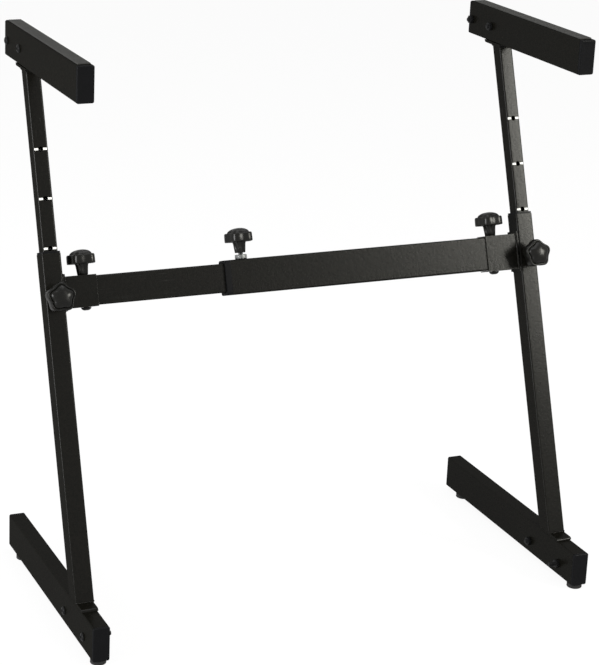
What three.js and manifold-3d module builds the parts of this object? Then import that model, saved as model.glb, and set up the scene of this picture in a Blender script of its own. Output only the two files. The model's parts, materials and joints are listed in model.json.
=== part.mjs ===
// Folding keyboard stand with two tilted side frames and a telescoping crossbar.
// Millimetres. +X is to the right and +Y to the rear for someone in front of the stand, +Z is up.
// The origin is on the floor, at the middle of the stand.
import * as THREE from 'three';
import { mergeVertices } from 'three/addons/utils/BufferGeometryUtils.js';
import Module from 'manifold-3d';

const wasm = await Module();
wasm.setup();

// ---------- driving dimensions ----------

// whole stand
const frameSpacing = 864; // between the middles of the two side frames, as set now
const frameTilt = 20; // degrees that each upright leans back

// foot and arm rails, cut from one rectangular tube
const railHeight = 58;
const railWidth = 28;
const railWall = 1.6;
const railCorner = 3;
const footLength = 457;
const footOverhang = 98; // from the foot's front end to the upright, on the foot's top
const armLength = 376;
const armOverhang = 98; // from the upright, at the arm's underside, to the arm's rear end

// square uprights
const lowerSize = 32;
const lowerWall = 1.5;
const lowerLength = 552; // along the front face's middle line
const upperSize = 25;
const upperWall = 1.5;
const upperLength = 484;
const uprightCorner = 3;

// index holes of the upper upright, counted from its lower end
const holePitch = 80;
const holeCount = 5;
const firstHoleHeight = 34;
const pinnedHole = 1; // the hole that is at the height knob now
const heightKnobDrop = 72; // from the lower upright's open end down to the height knob

// crossbar, tilted as the uprights are
const outerBarHeight = 58;
const outerBarDepth = 28;
const innerBarHeight = 48;
const innerBarDepth = 20;
const barWall = 1.5;
const barCorner = 3;
const innerBarLength = 496;
const outerBarLength = 510;
const barCentreHeight = 529;
const plugLength = 40;

// fold brackets: one pivot bolt, parallel to the uprights, through a channel on each lower one
const leftPivotReach = 38.5; // from the upright's side face to the pivot bolt
const rightPivotReach = 46;
const bracketBeyondPivot = 18.5;
const bracketBehindPivot = 14;
const bracketSheet = 1.6;
const basePlateThickness = 3;
const basePlateWidth = 30;
const basePlateOver = 4; // the base plate reaches this far above and below the channel

// saddle shoes between the uprights and the rails
const shoeThickness = 5;
const shoeToe = 23; // in front of the lower upright, behind the upper one
const shoeNose = 4;
const shoeKeyWidth = 16;
const shoeKeyHeight = 34;
const footKeyMargin = 13; // the foot's key reaches this far past each of its two bolts
const armKeyLength = 70;
const shoeNeckLength = 26;

// bolts through the rails
const boltRadius = 4;
const boltHeadRadius = 7;
const boltHeadHeight = 3.5;
const boltNutRadius = 7.5;
const boltNutHeight = 6;
const boltTail = 3;
const longBoltTail = 12; // of the front bolt of each foot
const footBoltDrop = 37; // below the foot's top
const footBoltSpacing = 96;
const armBoltRise = 26; // above the arm's underside
const armCapBoltInset = 12;
const armShoeBoltOffset = 18; // behind the upright's middle line, at the arm's underside

// end caps, glides and arm pads
const capFlange = 5;
const capInsert = 20;
const capRounding = 1.6;
const glideRadius = 13;
const glideHeight = 8;
const glideEdge = 1.2;
const glideStemRadius = 3.7;
const glideStemHeight = 9;
const frontGlideInset = 15;
const rearGlideInset = 43;
const padWidth = 21;
const padThickness = 2;
const padInset = 9;
const padRibs = 7;
const padRibDepth = 0.7;

// plastic bushings at the open ends of the outer tubes
const uprightBushFlange = 3;
const uprightBushDepth = 40;
const uprightBushStep = 1;
const barBushFlange = 10;
const barBushDepth = 50;
const barBushCorner = 5;

// star knobs and what they screw into
const knobRadius = 25;
const knobDip = 3.8; // how much nearer the axis the head is between two lobes
const knobLobes = 5;
const knobHeadHeight = 15.3;
const knobEdge = 1.4;
const knobDraft = 0.4;
const knobRimWidth = 3;
const knobGroove = 0.8;
const knobDome = 8; // the middle of the head stands this far above its rim
const knobNeckLength = 18;
const knobNeckTop = 11.4;
const knobNeckFoot = 9.2;
const knobNeckDip = 2.6;
const knobBoreDepth = 16;
const studRadius = 4;
const widthNutRadius = 11;
const widthNutHeight = 7.5;
const widthKnobGap = 3;
const widthKnobInset = 25; // from the outer bar's open end
const heightNutRadius = 9;
const heightNutHeight = 3;
const pivotHeadRadius = 8.5;
const pivotHeadHeight = 5;

// how finely curves are cut
const roundSides = 16;
const shankSides = 12;
const nutSides = 6;
const domeSteps = 3;
const lobeSteps = 6;
const cornerSteps = 2; // an outline's arcs get twice as many faces as their steps
const coarseSteps = 1;
const barEndSteps = 6;

// clearances
const seatGap = 0.3; // between pieces that rest on each other
const slideGap = 0.4; // between a sliding tube and its bushing
const boreGap = 0.3; // around a bolt or a stud

// ---------- values worked out from the driving dimensions ----------

const tilt = THREE.MathUtils.degToRad(frameTilt);
const footTop = glideHeight + railHeight;

// the tilted axis starts on the foot's top; "along" is measured up it from there
const lowerStart = shoeThickness / Math.cos(tilt);
const lowerEnd = lowerStart + lowerLength;
const knobAlong = lowerEnd - heightKnobDrop;
const upperStart = knobAlong - firstHoleHeight - pinnedHole * holePitch;
const upperEnd = upperStart + upperLength;
const armShoeAlong = upperEnd + lowerStart;
const armBottom = footTop + armShoeAlong * Math.cos(tilt);
const axisRun = armShoeAlong * Math.sin(tilt);

// the stand's middle is halfway between the foot's front end and the arm's rear end
const footFront = -(footOverhang + axisRun + armOverhang) / 2;
const footRear = footFront + footLength;
const armRear = -footFront;
const armFront = armRear - armLength;
const axisFootY = footFront + footOverhang;
const axisArmY = axisFootY + axisRun;
const barAlong = (barCentreHeight - footTop) / Math.cos(tilt);
const barY = axisFootY + barAlong * Math.sin(tilt);

const lowerBore = lowerSize - 2 * lowerWall;
const railBoreWidth = railWidth - 2 * railWall;
const railBoreHeight = railHeight - 2 * railWall;

// crossbar places, along X
const leftPivotX = -frameSpacing / 2 + lowerSize / 2 + leftPivotReach;
const rightPivotX = frameSpacing / 2 - lowerSize / 2 - rightPivotReach;
const outerBarOpenEnd = rightPivotX + outerBarDepth / 2 - outerBarLength;
const widthKnobX = outerBarOpenEnd + widthKnobInset;

// ---------- materials ----------

const finish = (color, roughness, metalness) =>
  new THREE.MeshStandardMaterial({ color, roughness, metalness });
const powderCoat = finish(0x1f1f1d, 0.45, 0.3);
const capPlastic = finish(0x1a1a1c, 0.5, 0);
const knobPlastic = finish(0x161616, 0.3, 0);
const glideRubber = finish(0x141414, 0.9, 0);
const padRubber = finish(0x44443f, 0.85, 0);
const zincSteel = finish(0xa9aaa6, 0.35, 0.9);
const blackBolt = finish(0x262625, 0.4, 0.6);

// ---------- making and joining solids ----------

const toManifold = (geometry, matrix) => {
  const bare = geometry.clone();
  bare.deleteAttribute('normal');
  bare.deleteAttribute('uv');
  if (matrix) bare.applyMatrix4(matrix);
  const merged = mergeVertices(bare, 1e-4);
  const vertProperties = Float32Array.from(merged.attributes.position.array);
  const triVerts = Uint32Array.from(merged.index.array);
  return new wasm.Manifold(new wasm.Mesh({ numProp: 3, vertProperties, triVerts }));
};

const toMesh = (name, solid, material) => {
  const result = solid.getMesh();
  const geometry = new THREE.BufferGeometry();
  geometry.setAttribute('position', new THREE.BufferAttribute(result.vertProperties, 3));
  geometry.setIndex(new THREE.BufferAttribute(result.triVerts, 1));
  const mesh = new THREE.Mesh(geometry, material);
  mesh.name = name;
  return mesh;
};

// turns an extrusion or a round piece from +Z to another axis
const turnTo = {
  z: () => new THREE.Matrix4(),
  y: () => new THREE.Matrix4().makeRotationX(-Math.PI / 2),
  x: () => new THREE.Matrix4().makeRotationY(Math.PI / 2),
};

const at = (axis, x, y, z) => new THREE.Matrix4().makeTranslation(x, y, z).multiply(turnTo[axis]());

const roundedOutline = (target, width, height, radius) => {
  const x = width / 2;
  const y = height / 2;
  target.moveTo(x - radius, -y);
  target.absarc(x - radius, radius - y, radius, -Math.PI / 2, 0, false);
  target.absarc(x - radius, y - radius, radius, 0, Math.PI / 2, false);
  target.absarc(radius - x, y - radius, radius, Math.PI / 2, Math.PI, false);
  target.absarc(radius - x, radius - y, radius, Math.PI, Math.PI * 1.5, false);
  target.closePath();
  return target;
};

const sectionShape = (width, height, radius) =>
  roundedOutline(new THREE.Shape(), width, height, radius);

const hollowShape = (width, height, radius, boreWidth, boreHeight, boreRadius) => {
  const shape = sectionShape(width, height, radius);
  shape.holes.push(roundedOutline(new THREE.Path(), boreWidth, boreHeight, boreRadius));
  return shape;
};

const extrude = (shape, depth, options = {}) => {
  const settings = { depth, curveSegments: cornerSteps, bevelEnabled: false, ...options };
  return new THREE.ExtrudeGeometry(shape, settings);
};

// a prism of the given outline, from the place along the axis
const prism = (axis, shape, length, x, y, z, options) =>
  toManifold(extrude(shape, length, options), at(axis, x, y, z));

// a cylinder from the place along the axis
const rod = (axis, radius, length, x, y, z, sides = shankSides) => {
  const round = new THREE.CylinderGeometry(radius, radius, length, sides);
  round.rotateX(Math.PI / 2);
  round.translate(0, 0, length / 2);
  return toManifold(round, at(axis, x, y, z));
};

const block = (width, depth, height, x, y, z) =>
  toManifold(new THREE.BoxGeometry(width, depth, height), at('z', x, y, z));

// a turned piece: points are [radius, height] pairs from the axis back to the axis
const turned = (axis, points, sides = roundSides) => {
  const profile = points.map(([radius, height]) => new THREE.Vector2(radius, height));
  const lathe = new THREE.LatheGeometry(profile, sides);
  lathe.rotateX(Math.PI / 2);
  return toManifold(lathe, at(axis, 0, 0, 0));
};

// profile points over a low dome, from its crown on the axis to its rim
const domePoints = (radius, rim, height) => {
  const points = [];
  for (let i = 0; i <= domeSteps; i += 1) {
    const angle = (i / domeSteps) * (Math.PI / 2);
    points.push([radius * Math.sin(angle), rim + height * Math.cos(angle)]);
  }
  return points;
};

const squareTube = (size, wall, start, length) => {
  const bore = size - 2 * wall;
  const shape = hollowShape(size, size, uprightCorner, bore, bore, uprightCorner - wall);
  return prism('z', shape, length, 0, 0, start);
};

// ---------- rails: foot and arm tubes, their caps, glides and pads ----------

// a rail tube along Y between its caps, centred on X and on its own height
const railTube = (front, rear) => {
  const shape = hollowShape(
    railWidth, railHeight, railCorner, railBoreWidth, railBoreHeight, railCorner - railWall);
  const start = front + capFlange + seatGap;
  const length = rear - front - 2 * (capFlange + seatGap);
  return prism('y', shape, length, 0, start, 0);
};

// a cap whose rounded face is at y = 0 and whose insert reaches towards +Y
const railCap = () => {
  const full = sectionShape(railWidth, railHeight, railCorner);
  const inset = sectionShape(
    railWidth - 2 * capRounding, railHeight - 2 * capRounding, railCorner - capRounding / 2);
  const rounded = extrude(inset, capFlange - capRounding, {
    bevelEnabled: true,
    bevelThickness: capRounding,
    bevelSize: capRounding,
    bevelSegments: 1,
    curveSegments: coarseSteps,
  });
  const face = toManifold(rounded, at('y', 0, capRounding, 0));
  const coarse = { curveSegments: coarseSteps };
  const back = prism('y', full, capFlange / 2, 0, capFlange / 2, 0, coarse);
  const behind = block(railWidth * 2, capFlange, railHeight * 2, 0, capFlange * 1.5, 0);
  const insertShape = sectionShape(
    railBoreWidth - 2 * seatGap, railBoreHeight - 2 * seatGap, railCorner - railWall);
  const insert = prism('y', insertShape, capInsert + capFlange / 2, 0, capFlange / 2, 0, coarse);
  return face.subtract(behind).add(back).add(insert);
};

const glide = () => turned('z', [
  [0, 0],
  [glideRadius - glideEdge, 0],
  [glideRadius, glideEdge],
  [glideRadius, glideHeight - glideEdge],
  [glideRadius - glideEdge, glideHeight - seatGap],
  [glideStemRadius, glideHeight - seatGap],
  [glideStemRadius, glideHeight + glideStemHeight],
  [0, glideHeight + glideStemHeight],
]);

const glideHole = (y, z) =>
  rod('z', glideStemRadius + boreGap, glideStemHeight + 2 * seatGap, 0, y, z);

// a bolt across a left rail along +X: domed head outside, nut and thread end inside
const railBolt = (tail) => {
  const half = railWidth / 2 + seatGap;
  const end = half + boltNutHeight + tail;
  const bolt = turned('x', [
    ...domePoints(boltHeadRadius, -half, -boltHeadHeight),
    [boltRadius, -half],
    [boltRadius, end],
    [0, end],
  ], shankSides);
  return bolt.add(rod('x', boltNutRadius, boltNutHeight, half, 0, 0, nutSides));
};

const boltHole = (y, z) =>
  rod('x', boltRadius + boreGap, railWidth * 2, -railWidth, y, z);

// a strip along Y whose ribs run its whole length
const armPad = () => {
  const pitch = padWidth / padRibs;
  const shape = new THREE.Shape();
  shape.moveTo(padWidth / 2, 0);
  for (let i = 0; i < padRibs; i += 1) {
    const right = padWidth / 2 - i * pitch;
    shape.lineTo(right, padThickness - padRibDepth);
    shape.lineTo(right - pitch / 4, padThickness);
    shape.lineTo(right - (pitch * 3) / 4, padThickness);
  }
  shape.lineTo(-padWidth / 2, padThickness - padRibDepth);
  shape.lineTo(-padWidth / 2, 0);
  shape.closePath();
  const strip = extrude(shape, armLength - 2 * padInset);
  // the outline lies in X and Z and is drawn along -Y
  strip.rotateX(Math.PI / 2);
  strip.translate(0, armLength / 2 - padInset, 0);
  return toManifold(strip);
};

// ---------- shoes ----------

// a plate on the rail's face, its toe ahead of the upright, and a key inside the rail.
// It is drawn for the foot: the plate's underside is at z = 0 and the toe points to -Y.
const shoe = (uprightSize, keyLength) => {
  const footprint = uprightSize / Math.cos(tilt);
  const lean = shoeThickness * Math.tan(tilt);
  const front = -footprint / 2 - shoeToe;
  const rear = footprint / 2 + lean;
  const side = new THREE.Shape();
  side.moveTo(front, seatGap);
  side.lineTo(rear, seatGap);
  side.lineTo(rear, shoeThickness - seatGap);
  side.lineTo(front + shoeNose, shoeThickness - seatGap);
  side.absarc(front + shoeNose, seatGap, shoeThickness - 2 * seatGap, Math.PI / 2, Math.PI, false);
  side.closePath();
  const plateGeometry = extrude(side, railWidth);
  // the outline lies in Y and Z and is drawn across X
  plateGeometry.applyMatrix4(new THREE.Matrix4().makeBasis(
    new THREE.Vector3(0, 1, 0), new THREE.Vector3(0, 0, 1), new THREE.Vector3(1, 0, 0)));
  plateGeometry.translate(-railWidth / 2, 0, 0);
  const plate = toManifold(plateGeometry);
  const keyTop = -railWall - seatGap;
  const neck = block(shoeKeyWidth, shoeNeckLength, railWall + 3 * seatGap, 0, 0, -railWall / 2);
  const key = block(shoeKeyWidth, keyLength, shoeKeyHeight, 0, 0, keyTop - shoeKeyHeight / 2);
  return plate.add(neck).add(key);
};

const neckSlot = (y, z) =>
  block(shoeKeyWidth + 2 * seatGap, shoeNeckLength + 2 * seatGap, railWall * 3, 0, y, z);

// ---------- uprights ----------

// everything on one side of a level plane in the tilted frame, for cutting a tube's end level
const levelCut = (along, above) => {
  const size = 6 * lowerSize;
  const cutter = new THREE.BoxGeometry(size, size, size);
  cutter.translate(0, 0, above ? size / 2 : -size / 2);
  cutter.rotateX(tilt);
  cutter.translate(0, 0, along);
  return toManifold(cutter);
};

const lowerUpright = () => {
  const spare = lowerSize;
  const tube = squareTube(lowerSize, lowerWall, lowerStart - spare, lowerLength + spare);
  const stud = rod('y', studRadius + boreGap, lowerSize, 0, -lowerSize, knobAlong);
  return tube.subtract(levelCut(lowerStart, false)).subtract(stud);
};

const upperUpright = () => {
  const spare = upperSize;
  let tube = squareTube(upperSize, upperWall, upperStart, upperLength + spare);
  tube = tube.subtract(levelCut(upperEnd, true));
  for (let i = 0; i < holeCount; i += 1) {
    const along = upperStart + firstHoleHeight + i * holePitch;
    tube = tube.subtract(rod('y', studRadius + boreGap, upperSize, 0, -upperSize, along));
  }
  return tube;
};

const uprightBushing = () => {
  const bore = upperSize + 2 * slideGap;
  const sleeve = lowerBore - 2 * seatGap;
  const rim = lowerSize - uprightBushStep;
  const boreCorner = uprightCorner + slideGap;
  const flangeShape = hollowShape(rim, rim, uprightCorner, bore, bore, boreCorner);
  const sleeveShape = hollowShape(sleeve, sleeve, uprightCorner - lowerWall, bore, bore, boreCorner);
  const flange = prism('z', flangeShape, uprightBushFlange, 0, 0, lowerEnd + seatGap);
  const length = uprightBushDepth + uprightBushFlange;
  return flange.add(prism('z', sleeveShape, length, 0, 0, lowerEnd + seatGap - uprightBushDepth));
};

// ---------- knobs ----------

// a closed body through star-shaped rings, from the lowest up: [radius, dip, height]
const starBody = (rings, crown) => {
  const steps = lobeSteps * knobLobes;
  const positions = [];
  const index = [];
  for (const [radius, dip, height] of rings) {
    for (let i = 0; i < steps; i += 1) {
      const angle = (i / steps) * Math.PI * 2; // one lobe points to +Y
      const reach = radius - (dip * (1 - Math.cos(knobLobes * angle))) / 2;
      positions.push(-Math.sin(angle) * reach, Math.cos(angle) * reach, height);
    }
  }
  const bottom = rings.length * steps;
  const top = bottom + 1;
  positions.push(0, 0, rings[0][2]);
  positions.push(0, 0, crown);
  for (let i = 0; i < steps; i += 1) {
    const next = (i + 1) % steps;
    index.push(bottom, next, i);
    index.push(top, bottom - steps + i, bottom - steps + next);
    for (let low = 0; low < bottom - steps; low += steps) {
      const high = low + steps;
      index.push(low + i, low + next, high + next);
      index.push(low + i, high + next, high + i);
    }
  }
  const geometry = new THREE.BufferGeometry();
  geometry.setAttribute('position', new THREE.Float32BufferAttribute(positions, 3));
  geometry.setIndex(index);
  return toManifold(geometry);
};

// a knob along +Z with the foot of its neck at z = 0
const starKnob = () => {
  const crown = knobNeckLength + knobHeadHeight;
  const rimInner = knobRadius - knobEdge - knobRimWidth;
  const floor = crown - knobGroove;
  const domeRadius = rimInner - knobGroove;
  const dome = domePoints(domeRadius, floor, knobDome + knobGroove).reverse();
  const domeDip = (radius) => knobDip * (radius / knobRadius) ** 2;
  const body = starBody([
    [knobNeckFoot, knobNeckDip, 0],
    [knobNeckTop, knobNeckDip, knobNeckLength],
    [knobRadius - knobEdge, knobDip, knobNeckLength],
    [knobRadius, knobDip, knobNeckLength + knobEdge],
    [knobRadius - knobDraft, knobDip, crown - knobEdge],
    [knobRadius - knobDraft - knobEdge, knobDip, crown],
    [rimInner, knobDip, crown],
    ...dome.slice(0, -1).map(([radius, height]) => [radius, domeDip(radius), height]),
  ], crown + knobDome);
  return body.subtract(rod('z', studRadius + boreGap, knobBoreDepth, 0, 0, -seatGap));
};

// a knob's stud from inside its neck down to the given depth below the neck
const knobStud = (reach) => {
  const inside = knobBoreDepth - 3 * seatGap;
  return rod('z', studRadius, inside + reach, 0, 0, -reach);
};

const hexNut = (radius, height) =>
  rod('z', radius, height, 0, 0, 0, nutSides).subtract(
    rod('z', studRadius + boreGap, height * 2, 0, 0, -height / 2));

// ---------- fold bracket and its bolt ----------

// drawn around the pivot at x = 0, y = 0, with the upright on the given side, -1 or 1
const foldBracket = (side, reach, tubeHeight, tubeDepth) => {
  const inside = tubeHeight + 2 * seatGap;
  const height = inside + 2 * bracketSheet;
  const webFace = -tubeDepth / 2 - seatGap;
  const length = reach - seatGap + bracketBeyondPivot;
  const middle = side * (reach - seatGap - length / 2);
  const depth = bracketBehindPivot - webFace + bracketSheet;
  const channel = block(length, depth, height, middle, bracketBehindPivot - depth / 2, 0);
  const hollow = block(
    length * 2, depth, inside, middle, bracketBehindPivot - depth / 2 + bracketSheet, 0);
  const bolt = rod('z', boltRadius + boreGap, height * 2, 0, 0, -height);
  const plate = block(basePlateThickness, basePlateWidth, height + 2 * basePlateOver,
    side * (reach - seatGap - basePlateThickness / 2), 0, 0);
  return channel.subtract(hollow).subtract(bolt).add(plate);
};

const pivotBolt = (tubeHeight) => {
  const half = tubeHeight / 2 + seatGap + bracketSheet + seatGap;
  const top = half + knobBoreDepth - 3 * seatGap;
  return turned('z', [
    ...domePoints(pivotHeadRadius, -half, -pivotHeadHeight),
    [boltRadius, -half],
    [boltRadius, top],
    [0, top],
  ], shankSides);
};

// ---------- crossbar tubes and their plugs ----------

// plan of a bar whose end is rounded about the pivot: the pivot is at 0 and the bar runs to +X
const roundedEnd = (depth, length) => {
  const shape = new THREE.Shape();
  shape.moveTo(length, -depth / 2);
  shape.lineTo(length, depth / 2);
  shape.lineTo(0, depth / 2);
  shape.absarc(0, 0, depth / 2, Math.PI / 2, Math.PI * 1.5, false);
  shape.closePath();
  return shape;
};

const pivotHole = (height) => rod('z', boltRadius + boreGap, height * 2, 0, 0, -height);

const barTube = (height, depth, length) => {
  const bore = [height - 2 * barWall, depth - 2 * barWall];
  const shape = hollowShape(height, depth, barCorner, ...bore, barCorner - barWall);
  const tube = prism('x', shape, length, -depth / 2, 0, 0);
  const fine = { curveSegments: barEndSteps };
  const plan = prism('z', roundedEnd(depth, length), height * 2, 0, 0, -height, fine);
  return tube.intersect(plan).subtract(pivotHole(height));
};

const barPlug = (height, depth) => {
  const fit = barWall + seatGap;
  const outline = roundedEnd(depth - 2 * fit, plugLength);
  const plan = prism('z', outline, height * 2, 0, 0, -height, { curveSegments: barEndSteps });
  const section = sectionShape(height - 2 * fit, depth - 2 * fit, barCorner - barWall);
  const coarse = { curveSegments: coarseSteps };
  const body = prism('x', section, plugLength + depth, -depth / 2, 0, 0, coarse);
  return body.intersect(plan).subtract(pivotHole(height));
};

const barBushing = () => {
  const bore = [innerBarHeight + 2 * slideGap, innerBarDepth + 2 * slideGap];
  const fit = barWall + seatGap;
  const sleeve = [outerBarHeight - 2 * fit, outerBarDepth - 2 * fit];
  const boreCorner = barCorner + slideGap;
  const flangeShape = hollowShape(outerBarHeight, outerBarDepth, barBushCorner, ...bore, boreCorner);
  const sleeveShape = hollowShape(...sleeve, barCorner - barWall, ...bore, boreCorner);
  const start = outerBarOpenEnd - seatGap - barBushFlange;
  const flange = prism('x', flangeShape, barBushFlange, start, 0, 0);
  const body = prism('x', sleeveShape, barBushFlange + barBushDepth, start, 0, 0);
  const stud = rod('z', studRadius + boreGap, outerBarHeight, widthKnobX, 0, 0);
  return flange.add(body).subtract(stud);
};

// ---------- putting the stand together ----------

const stand = new THREE.Group();

const place = (parent, mesh, x = 0, y = 0, z = 0) => {
  mesh.position.set(x, y, z);
  parent.add(mesh);
};

const placeTurned = (parent, mesh, x, y, z) => {
  mesh.rotation.z = Math.PI;
  place(parent, mesh, x, y, z);
};

const frameRails = (frame, name, side) => {
  // bolts on the right frame are turned about, so that every nut is on the inner side
  const placeBolt = side < 0 ? place : placeTurned;
  const footMiddle = glideHeight + railHeight / 2;
  const footBoltZ = -footBoltDrop + railHeight / 2;
  const footBolts = {
    front: axisFootY - footBoltSpacing / 2,
    rear: axisFootY + footBoltSpacing / 2,
  };
  const glides = { front: footFront + frontGlideInset, rear: footRear - rearGlideInset };
  const bottom = -railHeight / 2;

  let foot = railTube(footFront, footRear);
  foot = foot.subtract(neckSlot(axisFootY, railHeight / 2));
  for (const end of ['front', 'rear']) {
    foot = foot.subtract(boltHole(footBolts[end], footBoltZ));
    foot = foot.subtract(glideHole(glides[end], bottom - seatGap));
    const tail = end === 'front' ? longBoltTail : boltTail;
    placeBolt(frame, toMesh(`${name}_foot_bolt_${end}`, railBolt(tail), blackBolt),
      0, footBolts[end], footMiddle + footBoltZ);
    place(frame, toMesh(`${name}_foot_glide_${end}`, glide(), glideRubber), 0, glides[end], 0);
  }
  place(frame, toMesh(`${name}_foot_tube`, foot, powderCoat), 0, 0, footMiddle);

  const frontCap = railCap().subtract(glideHole(frontGlideInset, bottom - seatGap));
  place(frame, toMesh(`${name}_foot_cap_front`, frontCap, capPlastic), 0, footFront, footMiddle);
  const rearCap = toMesh(`${name}_foot_cap_rear`, railCap(), capPlastic);
  placeTurned(frame, rearCap, 0, footRear, footMiddle);

  let footShoe = shoe(lowerSize, footBoltSpacing + 2 * footKeyMargin);
  for (const end of ['front', 'rear']) {
    footShoe = footShoe.subtract(boltHole(footBolts[end] - axisFootY, -footBoltDrop));
  }
  place(frame, toMesh(`${name}_foot_shoe`, footShoe, powderCoat), 0, axisFootY, footTop);

  // the arm is the foot turned end for end: its shoe hangs below it with the toe to the rear
  const armMiddle = armBottom + railHeight / 2;
  const armBoltZ = armBoltRise - railHeight / 2;
  const armBolts = { front: axisArmY + armShoeBoltOffset, rear: armRear - armCapBoltInset };
  let arm = railTube(armFront, armRear).subtract(neckSlot(axisArmY, bottom));
  for (const end of ['front', 'rear']) {
    arm = arm.subtract(boltHole(armBolts[end], armBoltZ));
    placeBolt(frame, toMesh(`${name}_arm_bolt_${end}`, railBolt(boltTail), blackBolt),
      0, armBolts[end], armBottom + armBoltRise);
  }
  place(frame, toMesh(`${name}_arm_tube`, arm, powderCoat), 0, 0, armMiddle);
  place(frame, toMesh(`${name}_arm_cap_front`, railCap(), capPlastic), 0, armFront, armMiddle);
  const armCapHole = boltHole(armCapBoltInset, armBoltZ);
  const armCapRear = toMesh(`${name}_arm_cap_rear`, railCap().subtract(armCapHole), capPlastic);
  placeTurned(frame, armCapRear, 0, armRear, armMiddle);

  const armShoeHole = boltHole(-armShoeBoltOffset, -armBoltRise);
  const armShoe = toMesh(
    `${name}_arm_shoe`, shoe(upperSize, armKeyLength).subtract(armShoeHole), powderCoat);
  armShoe.rotation.x = Math.PI;
  place(frame, armShoe, 0, axisArmY, armBottom);
  place(frame, toMesh(`${name}_arm_pad`, armPad(), padRubber),
    0, (armFront + armRear) / 2, armBottom + railHeight + seatGap);
};

const frameUprights = (frame, name) => {
  const upright = new THREE.Group();
  upright.position.set(0, axisFootY, footTop);
  upright.rotation.x = -tilt;
  frame.add(upright);
  upright.add(toMesh(`${name}_lower_upright`, lowerUpright(), powderCoat));
  upright.add(toMesh(`${name}_upright_bushing`, uprightBushing(), capPlastic));
  upright.add(toMesh(`${name}_upper_upright`, upperUpright(), powderCoat));

  // the height knob and its nut stand on the lower upright's front face
  const control = new THREE.Group();
  control.position.set(0, -lowerSize / 2 - seatGap, knobAlong);
  control.rotation.x = Math.PI / 2;
  upright.add(control);
  control.add(toMesh(
    `${name}_height_nut`, hexNut(heightNutRadius, heightNutHeight), powderCoat));
  const neckFoot = heightNutHeight + seatGap;
  place(control, toMesh(`${name}_height_knob`, starKnob(), knobPlastic), 0, 0, neckFoot);
  // the stud stops one seat gap short of the upper upright's front face
  const reach = neckFoot + (lowerSize - upperSize) / 2;
  place(control, toMesh(`${name}_height_stud`, knobStud(reach), zincSteel), 0, 0, neckFoot);
};

const foldJoint = (name, side, reach, tubeHeight, tubeDepth, pivotX) => {
  const joint = new THREE.Group();
  joint.position.set(pivotX, barY, barCentreHeight);
  joint.rotation.x = -tilt;
  stand.add(joint);
  const bracket = foldBracket(side, reach, tubeHeight, tubeDepth);
  joint.add(toMesh(`${name}_fold_bracket`, bracket, powderCoat));
  joint.add(toMesh(`${name}_pivot_bolt`, pivotBolt(tubeHeight), blackBolt));
  const top = tubeHeight / 2 + seatGap + bracketSheet + seatGap;
  place(joint, toMesh(`${name}_fold_knob`, starKnob(), knobPlastic), 0, 0, top);
};

for (const [name, side] of [['left', -1], ['right', 1]]) {
  const frame = new THREE.Group();
  frame.position.x = (side * frameSpacing) / 2;
  stand.add(frame);
  frameRails(frame, name, side);
  frameUprights(frame, name);
}
foldJoint('left', -1, leftPivotReach, innerBarHeight, innerBarDepth, leftPivotX);
foldJoint('right', 1, rightPivotReach, outerBarHeight, outerBarDepth, rightPivotX);

const crossbar = new THREE.Group();
crossbar.position.set(0, barY, barCentreHeight);
crossbar.rotation.x = -tilt;
stand.add(crossbar);
const innerBar = barTube(innerBarHeight, innerBarDepth, innerBarLength);
place(crossbar, toMesh('crossbar_inner', innerBar, powderCoat), leftPivotX);
const innerPlug = barPlug(innerBarHeight, innerBarDepth);
place(crossbar, toMesh('crossbar_inner_plug', innerPlug, capPlastic), leftPivotX);

const studHole = rod('z', studRadius + boreGap, outerBarHeight, rightPivotX - widthKnobX, 0, 0);
const outerBar = barTube(outerBarHeight, outerBarDepth, outerBarLength).subtract(studHole);
const outerMesh = toMesh('crossbar_outer', outerBar, powderCoat);
placeTurned(crossbar, outerMesh, rightPivotX, 0, 0);
const outerPlug = toMesh('crossbar_outer_plug', barPlug(outerBarHeight, outerBarDepth), capPlastic);
placeTurned(crossbar, outerPlug, rightPivotX, 0, 0);
crossbar.add(toMesh('crossbar_bushing', barBushing(), capPlastic));

// the width knob screws down through its nut onto the inner bar
const nutBase = outerBarHeight / 2 + seatGap;
const widthNeck = nutBase + widthNutHeight + widthKnobGap;
place(crossbar, toMesh('width_nut', hexNut(widthNutRadius, widthNutHeight), zincSteel),
  widthKnobX, 0, nutBase);
place(crossbar, toMesh('width_knob', starKnob(), knobPlastic), widthKnobX, 0, widthNeck);
const widthReach = widthNeck - innerBarHeight / 2 - seatGap;
place(crossbar, toMesh('width_stud', knobStud(widthReach), zincSteel), widthKnobX, 0, widthNeck);

export default stand;
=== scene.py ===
"""Looks for the folding keyboard stand: materials, moulded and machined details, light and camera."""

import json
import math

import bpy
from mathutils import Matrix, Vector

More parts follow.
